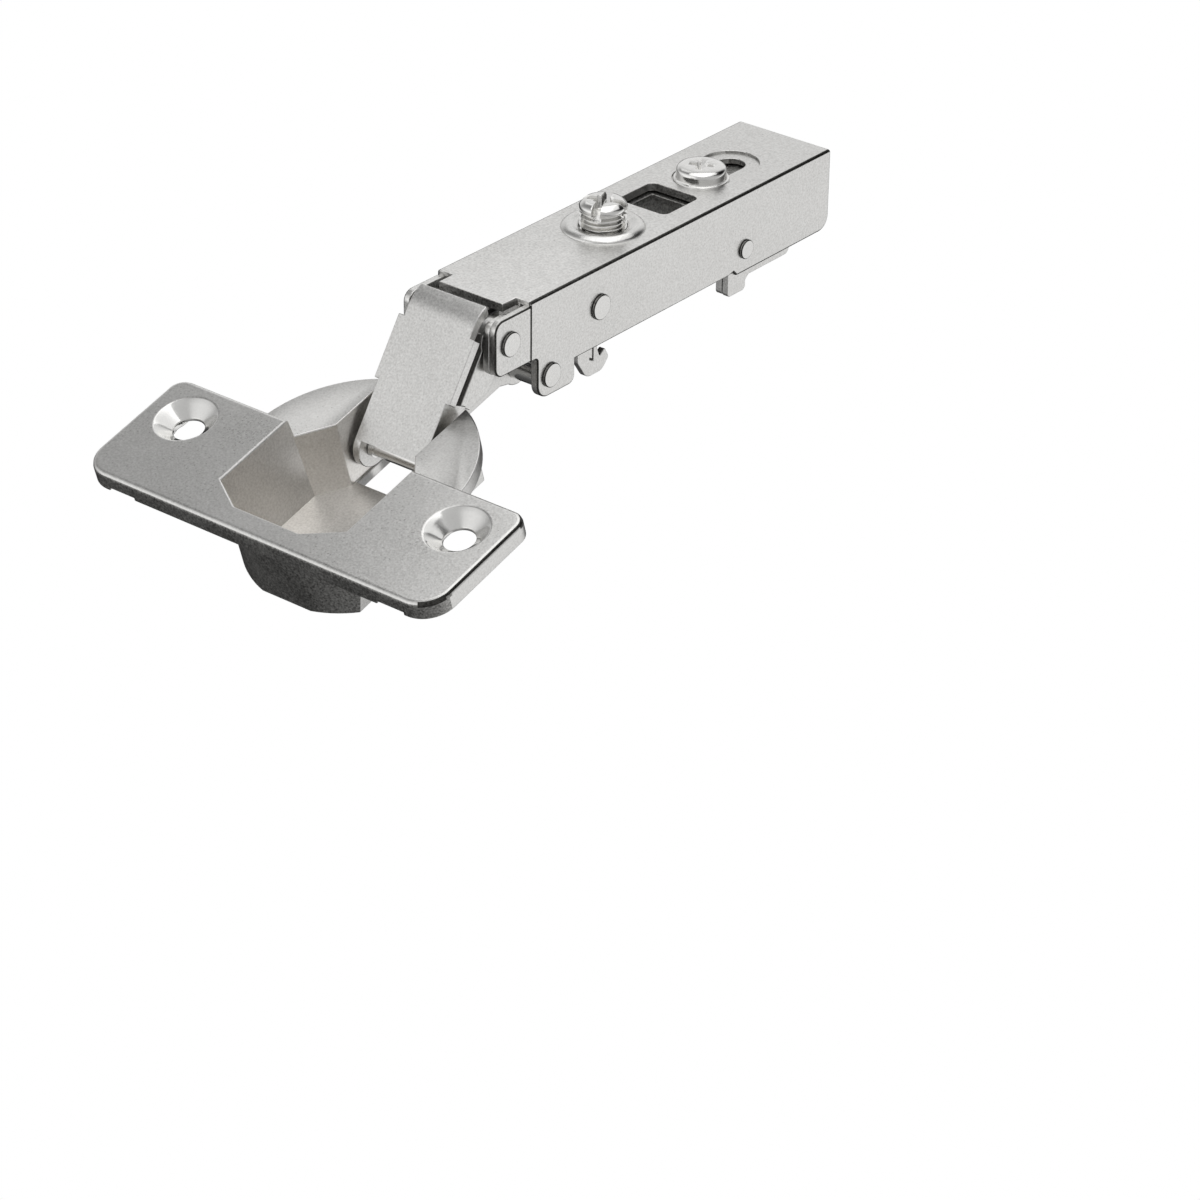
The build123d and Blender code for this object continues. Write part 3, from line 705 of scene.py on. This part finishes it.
# The flange's end gets a painted dark band of shade
def onFlangeEnd(place, normal):
    x, along, height = onFlange(place)
    least, most = cupPaint["endOutward"]
    onEnd = x > cupPaint["endFrom"] and height > -cupPaint["endDepth"]
    return onEnd and least < normal.x < most and normal.dot(flangeUp) > cupPaint["endUp"]


# Folds, rims and inner faces that mirror the dark side of the studio or lie in shade get painted shade and
# painted dark reflection, a darker copy of the finish
def paintShade(piece, isShaded, material=darkNickel):
    piece.data.materials.append(material)
    shade = len(piece.data.materials) - 1
    for face in piece.data.polygons:
        if isShaded(face.center / mm, face.normal):
            face.material_index = shade


turnedAside = (0.15, 0.97)  # how far sideways a rounded edge faces, between the top and the side


def isRounded(normal):
    return turnedAside[0] < abs(normal.x) < turnedAside[1]


# The arm's inside gets painted shade, and its rounded folds get a painted dark reflection
armShade = {
    "foldFrom": 7.9,
    "topFold": 0.2,
    "lowerFold": 0.15,
    "mouthBelow": 2.0,
    "insideWithin": 7.2,
    "underTop": 1.35,
    "forward": 0.7,
}


def onArmFold(place, normal):
    onTop = normal.z > armShade["topFold"]
    below = normal.z < -armShade["lowerFold"]
    atMouth = normal.y < -armShade["lowerFold"] and place.z < armShade["mouthBelow"]
    return abs(place.x) >= armShade["foldFrom"] and isRounded(normal) and (onTop or below or atMouth)


def inArm(place, normal):
    within = abs(place.x) < armShade["insideWithin"]
    return within and (place.z < armShade["underTop"] or normal.y < -armShade["forward"])


# The link's web in the recess behind its plate gets painted shade, and its rounded rear and lower edges get
# a painted dark reflection
linkShade = {"web": (4.5, 4.7), "sideways": 0.9, "edgeFrom": 4.5, "edge": 0.3}


def onLinkWeb(place, normal):
    inner, outer = linkShade["web"]
    return inner < abs(place.x) < outer and abs(normal.x) > linkShade["sideways"]


def onLinkEdge(place, normal):
    behindOrBelow = normal.y > linkShade["edge"] or normal.z < -linkShade["edge"]
    return abs(place.x) > linkShade["edgeFrom"] and isRounded(normal) and behindOrBelow


# The carrier's inside gets painted shade
carrierShade = {"within": 6.1, "above": -11.0}


def inCarrier(place, normal):
    return abs(place.x) < carrierShade["within"] and place.z > carrierShade["above"]


# A rivet's side gets painted shade, and its rounded rim gets a painted dark reflection
def onRivetSide(place, normal):
    return abs(normal.x) < turnedAside[0]


def onRivetRim(place, normal):
    return isRounded(normal)


# Painted shade and painted dark reflection on the cup, the link, the arm, the flange's end, the carrier and
# the rivets
paintCup(shells["cup"])
paintShade(shells["outer_link"], onLinkWeb, foldNickel)
paintShade(shells["outer_link"], onLinkEdge, foldNickel)
paintShade(shells["arm"], inArm)
paintShade(shells["arm"], onArmFold, foldNickel)
paintShade(shells["cup"], onFlangeEnd, foldNickel)
paintShade(shells["carrier"], inCarrier)
for name in rivets:
    dress(shells[name], headNickel)
    paintShade(shells[name], onRivetSide)
    paintShade(shells[name], onRivetRim, foldNickel)
print("stage: cup, folds and rivets painted")

# Camera at the photograph's angle
view = {
    "azimuth": 38.546,
    "elevation": 29.548,
    "roll": 0.743,
    "distance": 549.308,
    "aside": 17.42,
    "below": 41.34,
    "pivot": (0, -34.6, 2.5),
    "lens": 122.50,
    "sensor": 36,
    "nearest": 0.01,
    "farthest": 10,
}
turn, lift, tilt = (radians(view[key]) for key in ("azimuth", "elevation", "roll"))
back = Vector((sin(turn) * cos(lift), -cos(turn) * cos(lift), sin(lift)))
level = Vector((cos(turn), sin(turn), 0))
upright = back.cross(level)
right = cos(tilt) * level + sin(tilt) * upright
up = cos(tilt) * upright - sin(tilt) * level
spot = Vector(view["pivot"]) + view["aside"] * right - view["below"] * up + view["distance"] * back
cameraData = bpy.data.cameras.new("photoCamera")
cameraData.lens = view["lens"]
cameraData.sensor_width = view["sensor"]
cameraData.clip_start = view["nearest"]
cameraData.clip_end = view["farthest"]
camera = bpy.data.objects.new("photoCamera", cameraData)
camera.matrix_world = Matrix.Translation(spot * mm) @ Matrix((right, up, back)).transposed().to_4x4()
bpy.context.scene.collection.objects.link(camera)
bpy.context.scene.camera = camera

# Pale floor
floorSettings = {"drop": 12.0, "size": 6.0, "tone": 1.0}
bpy.ops.object.select_all(action="DESELECT")
bpy.ops.mesh.primitive_plane_add(
    size=floorSettings["size"], location=(0, 0, cadBox[0].z - floorSettings["drop"] * mm)
)
floor = bpy.context.active_object
floor.name = "paleFloor"
floorMaterial = bpy.data.materials.new("paleFloor")
floorMaterial.use_nodes = True
floorTree = Tree(floorMaterial.node_tree)
floorShader = floorTree.node(
    "ShaderNodeBsdfPrincipled",
    {},
    {
        "Base Color": (0.0, 0.0, 0.0, 1),
        "Roughness": 1.0,
        "Specular IOR Level": 0.0,
        "Emission Color": (floorSettings["tone"],) * 3 + (1,),
        "Emission Strength": 1.0,
    },
)
floorTree.node("ShaderNodeOutputMaterial", {}, {"Surface": floorShader})
dress(floor, floorMaterial)
floor.visible_glossy = False
floor.visible_diffuse = False
floor.visible_shadow = False

# Studio light: soft panels all round, each with its direction and brightness
world = bpy.data.worlds.new("softStudio")
bpy.context.scene.world = world
world.use_nodes = True
sky = Tree(world.node_tree)
looking = sky.node("ShaderNodeTexCoord", output="Generated")
panels = {
    "overArm": ((-0.54, 0.68, 0.49), 0.93),
    "behindRightLow": ((0.54, 0.68, -0.49), 1.02),
    "behindRightFlag": ((0.52, 0.62, 0.58), 0.0),
    "overCup": ((-0.54, 0.32, 0.78), 0.27),
    "frontLeft": ((-0.54, -0.71, 0.45), 0.86),
    "crownFlag": ((-0.54, -0.34, 0.77), 0.20),
    "frontLow": ((-0.54, -0.32, -0.78), 0.06),
    "frontLeftLow": ((-0.54, -0.68, -0.49), 0.22),
    "frontEdge": ((-0.50, -0.85, 0.15), 1.3),
    "backLeftLow": ((-0.50, 0.68, -0.54), 0.0),
    "backLow": ((0.03, 0.68, -0.73), 0.02),
    "frontRight": ((0.70, -0.60, 0.38), 0.55),
    "frontRightLow": ((0.55, -0.60, -0.58), 0.30),
    "right": ((0.98, 0.10, 0.15), 0.55),
    "above": ((0.0, 0.0, 1.0), 0.65),
    "underneath": ((0.1, 0.3, -0.95), 0.20),
}
panelSharpness = 16.0
summed, weights = 0.0, 0.0
for axis, brightness in panels.values():
    facing = sky.node(
        "ShaderNodeVectorMath",
        {"operation": "DOT_PRODUCT"},
        {0: looking, 1: Vector(axis).normalized()},
        "Value",
    )
    share = sky.node("ShaderNodeMath", {"operation": "EXPONENT"}, {0: (facing - 1) * panelSharpness})
    summed = share * brightness + summed
    weights = share + weights
shine = sky.node("ShaderNodeBackground", {}, {"Color": summed / weights, "Strength": 1.0})
sky.node("ShaderNodeOutputWorld", {}, {"Surface": shine})

# Soft boxes close over the cup lighten its flange and its disc
softBoxes = {
    "flangeBox": {"place": (22, 4, 110), "size": (150, 170), "watts": 0.074},
    "discBox": {"place": (-110, 50, 110), "size": (90, 80), "watts": 0.010},
}
for name, look in softBoxes.items():
    lamp = bpy.data.lights.new(name, "AREA")
    lamp.shape = "RECTANGLE"
    lamp.size, lamp.size_y = (side * mm for side in look["size"])
    lamp.energy = look["watts"]
    softBox = bpy.data.objects.new(name, lamp)
    softBox.location = Vector(look["place"]) * mm
    softBox.visible_camera = False
    bpy.context.scene.collection.objects.link(softBox)
bpy.context.scene.view_settings.view_transform = "Standard"
print("stage: camera, floor and light placed")
